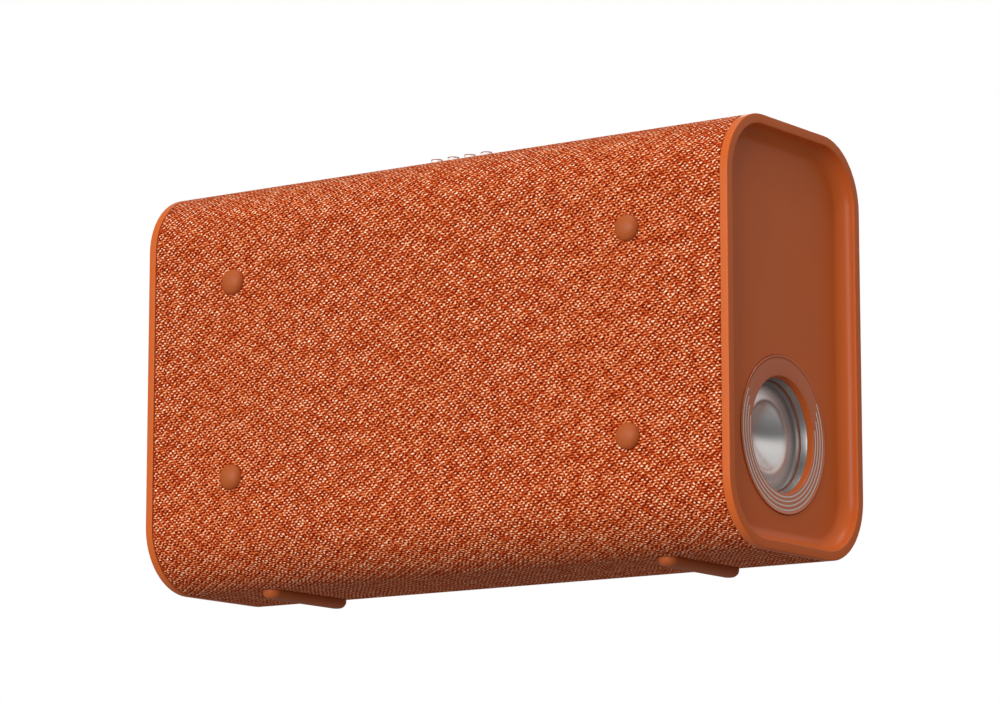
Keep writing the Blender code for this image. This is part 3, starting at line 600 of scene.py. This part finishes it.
def build_cap_ports():
    bm = bmesh.new()
    loft_rings(bm, cap_rings(1), closed=False)
    cap = emit("socket_end_cap", bm, M_SHELL, replaces=("end_cap_ports",), slot="shell")
    low, high = lo_hi("bay_door")
    y, z0, z1 = BODY_Y, low.z - 0.35 * MM, high.z + 0.4 * MM
    mid, half = (z0 + z1) / 2, (z1 - z0) / 2
    floor = END - 7.2 * MM
    pin = centre_of("bay_door_pin")
    well_back, inner_z = 136.7 * MM, 51.1 * MM
    tools = [
        ("UNION", cutter("well", lambda b: prism(b, round_rect(y, mid, 34.5 * MM, half + 2.6 * MM, 7 * MM), well_back, floor - 1.2 * MM))),
        ("DIFFERENCE", cutter("front", lambda b: prism(b, [p for p in round_rect(y, mid, 31 * MM, half, 2 * MM) if p[1] < mid] + [(y + 31 * MM, z1), (y - 31 * MM, z1)], floor - 4.2 * MM, END + 2 * MM))),
        ("DIFFERENCE", cutter("inner", lambda b: prism(b, round_rect(y, inner_z, 27.5 * MM, 21.5 * MM, 2 * MM), well_back + 2 * MM, floor))),
        ("DIFFERENCE", cutter("barrel", lambda b: prism(b, [(y - 30.9 * MM, pin.z - 3.1 * MM), (y + 30.9 * MM, pin.z - 3.1 * MM), (y + 30.9 * MM, z1 - 0.1 * MM), (y - 30.9 * MM, z1 - 0.1 * MM)], pin.x - 3 * MM, floor - 2 * MM))),
        ("DIFFERENCE", cutter("pin", lambda b: tube(b, 1.4 * MM, (pin.x, y - 33.6 * MM, pin.z), (pin.x, y + 33.6 * MM, pin.z), 32))),
    ]
    for name in sorted(N):
        if name.startswith(("usb_", "dc_")) and name.endswith(("socket_1", "socket_2", "_socket")):
            a, b_ = lo_hi(name)
            c, h = (a + b_) / 2, (b_ - a) / 2 + Vector((0, 0.3 * MM, 0.3 * MM))
            r = {"usb_a": 0.6 * MM, "usb_c": h.z - 0.05 * MM}.get(name[:5], h.z - 0.01 * MM)
            tools.append(("DIFFERENCE", cutter(name + "_window", lambda b, c=c, h=h, r=r: prism(b, round_rect(c.y, c.z, h.y, h.z, r), well_back - 1 * MM, well_back + 2.25 * MM))))
    carve(cap, tools)
    return cap


# ---------------------------------------------------------------- torch
def slope(radius):
    """Depth of the bezel's flat face, which falls slightly towards the bore, in mm behind the rim."""
    return 7.0 + (32.4 - radius) / (32.4 - 25.4) * 0.12


def arc_strip(bm, radius, width, a0, a1, steps):
    """A printed line on the bezel face, with a hair of thickness; angles in degrees from +Y, anticlockwise to +Z."""
    rows = []
    for k in range(steps + 1):
        a = math.radians(a0 + (a1 - a0) * k / steps)
        ring = []
        for r, lift in ((radius - width / 2, 0.0), (radius - width / 2, 0.035), (radius + width / 2, 0.035), (radius + width / 2, 0.0)):
            depth = slope(r) - 0.012 - lift + (0.03 if lift == 0 else 0)
            ring.append(bm.verts.new((-END + depth * MM, BODY_Y + r * MM * math.cos(a), TORCH_Z + r * MM * math.sin(a))))
        rows.append(ring)
    for a, b in zip(rows, rows[1:]):
        for k in range(4):
            bm.faces.new((a[k], a[(k + 1) % 4], b[(k + 1) % 4], b[k]))
    bm.faces.new(rows[0])
    bm.faces.new(rows[-1][::-1])


def build_torch():
    bezel = [(p.x, p.y) for p in rounded_profile([(8.2, 33.8, 0), (6.72, 33.8, 0.2), (6.72, 33.3, 0.25), (7.0, 32.5, 0.9), (7.12, 25.1, 0.35), (7.5, 24.85, 0.3), (10.0, 24.45, 0.1), (10.0, 26.6, 0), (8.2, 26.6, 0), (8.2, 30, 0)], 6)]
    face = lathe("torch_bezel_ring", bezel, M_GLOSS, 160, replaces=("torch_bezel",), slot="shell")
    # the bore wall inside the bezel takes the paler shell finish so it shows brighter: painted light where the wall
    # catches the lamps
    face.data.materials.append(M_SHELL)
    for polygon in face.data.polygons:
        if polygon.center.x > -END + 7.3 * MM and Vector(polygon.center - Vector((0, BODY_Y, TORCH_Z))).yz.length < 25 * MM:
            polygon.material_index = 1
    bm = bmesh.new()
    for radius, above in ((26.3, 11), (28.15, 19), (30.0, 26), (31.9, 31)):
        arc_strip(bm, radius, 0.52, -180 - above, above, 160)
    emit("torch_bezel_print", bm, M_PRINT, slot="shell", smooth=30)
    ring = [(p.x, p.y) for p in rounded_profile([(13.0, 26.6, 0), (10.04, 26.6, 0), (10.04, 24.45, 0.06), (13.0, 23.7, 0.2), (13.0, 26.0, 0)], 6)]
    lathe("torch_chrome_ring", ring, M_CHROME, 128, replaces=("torch_trim_ring",), slot="chrome")
    collar = [(p.x, p.y) for p in rounded_profile([(15.4, 25.6, 0), (13.3, 25.6, 0), (13.3, 23.75, 0.15), (15.4, 23.75, 0), (15.4, 24.6, 0)], 5)]
    lathe("torch_bore_collar", collar, M_SHELL, 128, replaces=("torch_collar",), slot="shell")
    # a moat and a broad rolled ring round a parabolic bowl
    lip = through([(12.6, 23.5), (13.35, 23.45), (14.1, 23.35), (14.85, 22.9), (15.2, 22.2), (15.35, 21.2), (15.3, 20.0), (15.12, 18.6), (14.9, 17.3), (14.8, 15.9), (14.95, 14.9), (15.45, 14.0), (16.25, 13.1), (17.0, 12.2)], 6)
    bowl = [(21.55 - r * r / 32.4, r) for r in (12.6, 12.0, 11.2, 10.4, 9.4, 8.4, 7.2, 6.0, 4.5, 3.0, 1.5, 0.0)]
    back = [(23.0, 0.0), (22.6, 4.0), (21.4, 8.0), (19.4, 12.0), (17.0, 15.0), (16.8, 18.3), (17.8, 21.0), (18.0, 25.6), (15.7, 25.6), (15.7, 23.65)]
    lathe("torch_silvered_dish", lip + bowl + back, M_BOWL, 160, replaces=("torch_dish",), slot="reflector", smooth=50)
    lathe("torch_led_dome", [(p.x, p.y) for p in rounded_profile([(25.2, 0, 0), (25.4, 1.6, 0.5), (26.4, 2.5, 0.5), (27.3, 2.6, 0), (27.3, 3.5, 0), (27.9, 3.5, 0), (27.9, 0, 0)], 5)], M_LENS, 64, closed=False, replaces=("torch_emitter",), slot="lens")


# ---------------------------------------------------------------- feet and buttons
def build_feet():
    for name in sorted(N):
        low, high = lo_hi(name) if name.startswith(("back_foot", "base_foot")) else (None, None)
        if name.startswith("back_foot"):
            c = (low + high) / 2
            crown = [(4.0 * (1 - (k / 22) ** 2.25) ** (1 / 2.25), 5.8 * k / 22, 0) for k in range(22)] + [(0.62, 5.795, 0), (0.25, 5.75, 0)]
            dome = soft(crown + [(0.2, 5.6, 0), (0.2, 2.0, 0.2), (-4.6, 2.0, 0.2), (-4.6, 3.0, 0.3), (-5.8, 2.2, 0.4), (-5.8, 0, 0)], 8)
            bm = bmesh.new()
            revolve(bm, dome, (c.x, BODY_Y + DEPTH / 2, c.z), (0, 1, 0), 64)
            emit(name.replace("back_foot", "dome_foot"), bm, M_FEET, replaces=(name,), slot="feet", smooth=50)
        if name.startswith("base_foot"):
            c = (low + high) / 2
            half, r, top = (high.y - low.y) / 2, (high.x - low.x) / 2, cap_low.z - 0.3 * MM
            rings = []
            fillet = [(3.3 * (1 - math.sin(math.radians(t))), 3.3 * (1 - math.cos(math.radians(t)))) for t in range(0, 91, 9)] + [(0.0, 3.8), (0.06, 3.96)]
            for inset, z in fillet:
                rr = r - inset * MM
                rings.append([(c.x + rr * math.cos(math.radians(a)), BODY_Y + way * (half - r) + rr * math.sin(math.radians(a)), z * MM) for way, first in ((1, 0), (-1, 180)) for a in range(first, first + 181, 6)])
            bm = bmesh.new()
            loft_rings(bm, rings, closed=False)
            foot = emit(name.replace("base_foot", "bar_foot"), bm, M_FEET, replaces=(name,), slot="feet", smooth=50)
            stems = []
            for dy in (-16 * MM, 16 * MM):
                stems.append(("UNION", cutter("stem", lambda b, dy=dy: revolve(b, soft([(0.0, 0, 0), (0, 2.0, 0), (6.6, 2.0, 0.2), (6.6, 3.0, 0.3), (7.8, 2.2, 0.4), (7.8, 0, 0)], 4), (c.x, BODY_Y + dy, 2 * MM), (0, 0, 1), 32))))
            carve(foot, stems, 50)


def build_buttons():
    for key in KEYS:
        node = f"button_{key}"
        low, high = lo_hi(node)
        c = (low + high) / 2
        top = MID_Z + HEIGHT / 2
        bm = bmesh.new()
        revolve(bm, soft([(1.5, 0, 0), (1.5, 1.6, 0.6), (1.6, 2.0, 0.15), (1.58, 2.55, 0.3), (-5.2, 2.6, 0), (-5.2, 3.7, 0.2), (-6.4, 3.7, 0.2), (-6.4, 1.5, 0.2), (-10.8, 1.5, 0.3), (-10.8, 0, 0)], 6), (c.x, c.y, top), (0, 0, 1), 64)
        emit(f"push_{key}", bm, M_KEY, body=f"{key}_button", replaces=(node,), slot="key", smooth=50)
        # the thin brown ring on the key's top edge is a painted reflection of the orange body
        bm = bmesh.new()
        revolve(bm, [(1.14 * MM, 2.5 * MM), (1.50 * MM, 2.5 * MM), (1.50 * MM, 2.61 * MM), (1.14 * MM, 2.62 * MM)], (c.x, c.y, top), (0, 0, 1), 64, closed=True)
        emit(f"push_{key}_rim", bm, M_KEY_RIM_PAINTED_REFLECTION, body=f"{key}_button", slot="key", smooth=50)


build_sleeve()
build_cap_torch()
build_cap_ports()
build_torch()
build_feet()
build_buttons()

# ---------------------------------------------------------------- carried-over nodes get their finishes
FINISH = {
    "core_shell_front": M_CORE, "core_shell_rear": M_CORE, "button_guide": M_CORE, "battery_tray": M_CORE, "dc_input_socket": M_CORE, "dc_output_socket": M_CORE,
    "main_capacitor_1": M_CORE, "main_capacitor_2": M_CORE, "bay_door": M_SHELL, "bay_door_pin": M_STEEL, "bay_door_seal": M_SEAL,
    "end_seal_torch": M_SEAL, "end_seal_ports": M_SEAL, "battery_strap_left": M_SEAL, "battery_strap_right": M_SEAL,
    "main_board": M_BOARD, "port_board": M_BOARD, "switch_board": M_BOARD, "protection_board": M_BOARD, "torch_led_board": M_BOARD,
    "main_heatsink": M_ALU, "torch_heatsink": M_ALU, "main_inductor": M_ALU, "battery_cable": M_CABLE, "torch_cable": M_CABLE,
}
for name, node in N.items():
    mat = FINISH.get(name)
    if mat is None:
        mat = M_CELL if name.startswith("battery_cell") else M_NICKEL if name.startswith(("usb_", "cell_link")) else M_STEEL if "screw" in name else None
    if mat is not None:
        for slot in node.material_slots:
            slot.material = mat

# ---------------------------------------------------------------- floor, backdrop, lights, camera
def stage_material(name, colour, one_sided=False, glow=None):
    g = Graph(name)
    g.set(color=colour, rough=0.9)
    if glow is not None:
        g.nt.nodes.remove(g.shader)
        shader = g.nt.nodes.new("ShaderNodeEmission")
        shader.inputs["Color"].default_value = (*colour, 1)
        shader.inputs["Strength"].default_value = glow
        g.nt.links.new(shader.outputs[0], g.nt.nodes["Material Output"].inputs[0])
    if one_sided:
        clear, blend = g.nt.nodes.new("ShaderNodeBsdfTransparent"), g.nt.nodes.new("ShaderNodeMixShader")
        side = g.nt.nodes.new("ShaderNodeNewGeometry")
        g.nt.links.new(side.outputs["Backfacing"], blend.inputs[0])
        g.nt.links.new(g.shader.outputs[0], blend.inputs[1])
        g.nt.links.new(clear.outputs[0], blend.inputs[2])
        g.nt.links.new(blend.outputs[0], g.nt.nodes["Material Output"].inputs[0])
    return g.mat


def stage_object(name, build, mat):
    obj = cutter(name, build)
    obj.data.materials.append(mat)
    return obj


def floor_disc(bm):
    bmesh.ops.create_circle(bm, cap_ends=True, segments=96, radius=6.0)


floor = stage_object("floor", floor_disc, stage_material("pale_floor", (0.82, 0.82, 0.81), one_sided=True))
if floor.data.polygons[0].normal.z < 0:
    floor.data.flip_normals()
backdrop = stage_object("backdrop", lambda b: bmesh.ops.create_icosphere(b, subdivisions=4, radius=20.0), stage_material("white_backdrop", (1, 1, 1), glow=1.0))
for ray in ("diffuse", "glossy", "transmission", "shadow", "volume_scatter"):
    setattr(backdrop, f"visible_{ray}", False)
for ray in ("diffuse", "glossy", "shadow"):
    setattr(floor, f"visible_{ray}", False)

world = bpy.data.worlds.new("soft_studio")
bpy.context.scene.world = world
world.use_nodes = True
tree = world.node_tree
ways = tree.nodes.new("ShaderNodeSeparateXYZ")
tree.links.new(tree.nodes.new("ShaderNodeTexCoord").outputs["Generated"], ways.inputs[0])


def sky(stops):
    """Brightness against height, from straight down (-1) to straight up (+1)."""
    node = tree.nodes.new("ShaderNodeValToRGB")
    elements = node.color_ramp.elements
    while len(elements) < len(stops):
        elements.new(0.5)
    for e, (z, v) in zip(elements, stops):
        e.position, e.color = (z + 1) / 2, (v, v, v, 1)
    lift = tree.nodes.new("ShaderNodeMath")
    lift.operation = "MULTIPLY_ADD"
    lift.inputs[1].default_value = lift.inputs[2].default_value = 0.5
    tree.links.new(ways.outputs["Z"], lift.inputs[0])
    tree.links.new(lift.outputs[0], node.inputs[0])
    return node.outputs[0]


# a dim horizon below, a brighter sky, brightest on the torch and front sides
side = tree.nodes.new("ShaderNodeMath")
side.operation = "ADD"
tree.links.new(ways.outputs["X"], side.inputs[0])
tree.links.new(ways.outputs["Y"], side.inputs[1])
turn_to_back = tree.nodes.new("ShaderNodeMapRange")
turn_to_back.interpolation_type = "SMOOTHSTEP"
tree.links.new(side.outputs[0], turn_to_back.inputs[0])
turn_to_back.inputs[1].default_value, turn_to_back.inputs[2].default_value = -0.5, 0.9
blend_sky = tree.nodes.new("ShaderNodeMix")
tree.links.new(turn_to_back.outputs[0], blend_sky.inputs[0])
tree.links.new(sky(((-1.0, 0.42), (-0.45, 0.18), (-0.10, 0.10), (0.04, 0.10), (0.26, 0.68), (0.6, 0.62), (1.0, 0.45))), blend_sky.inputs[2])
tree.links.new(sky(((-1.0, 0.46), (-0.45, 0.285), (-0.10, 0.145), (0.04, 0.14), (0.26, 0.20), (0.6, 0.22), (1.0, 0.4))), blend_sky.inputs[3])
tree.links.new(blend_sky.outputs[0], tree.nodes["Background"].inputs[1])
tree.nodes["Background"].inputs[0].default_value = (1, 1, 1, 1)

CENTRE = Vector((0, BODY_Y, MID_Z))


def area(name, place, size, power, colour=(1, 1, 1), aim=CENTRE):
    data = bpy.data.lights.new(name, "AREA")
    data.shape, data.size, data.size_y, data.energy, data.color = "RECTANGLE", size[0], size[1], power, colour
    obj = bpy.data.objects.new(name, data)
    obj.location = place
    obj.rotation_euler = (Vector(aim) - Vector(place)).to_track_quat("-Z", "Y").to_euler()
    bpy.context.scene.collection.objects.link(obj)
    return obj


area("key", (-0.45, 2.6, 0.45), (1.5, 1.4), 54)
area("side", (1.0, 2.6, 0.6), (1.3, 1.2), 13)
area("fill", (0.9, -2.4, 0.9), (1.5, 1.4), 34)
area("top", (-0.45, 0.0, 2.4), (1.0, 1.0), 20, aim=Vector((-END, BODY_Y, 0.05)))

H = HEIGHT
camera_data = bpy.data.cameras.new("camera")
camera = bpy.data.objects.new("camera", camera_data)
bpy.context.scene.collection.objects.link(camera)
camera_data.lens, camera_data.sensor_width = 148.54, 36.0
camera_data.clip_start, camera_data.clip_end = 0.05, 100.0
right, down, forward = Vector((-0.81672, -0.57703, 0.0)), Vector((0.09816, -0.13893, -0.98543)), Vector((0.56862, -0.80482, 0.17011))
turn = Matrix((right, -down, -forward)).transposed().to_4x4()
camera.matrix_world = Matrix.Translation(CENTRE + Vector((-5.66474, 7.99964, -1.63949)) * H) @ turn
bpy.context.scene.camera = camera
bpy.context.scene.view_settings.view_transform = "Standard"
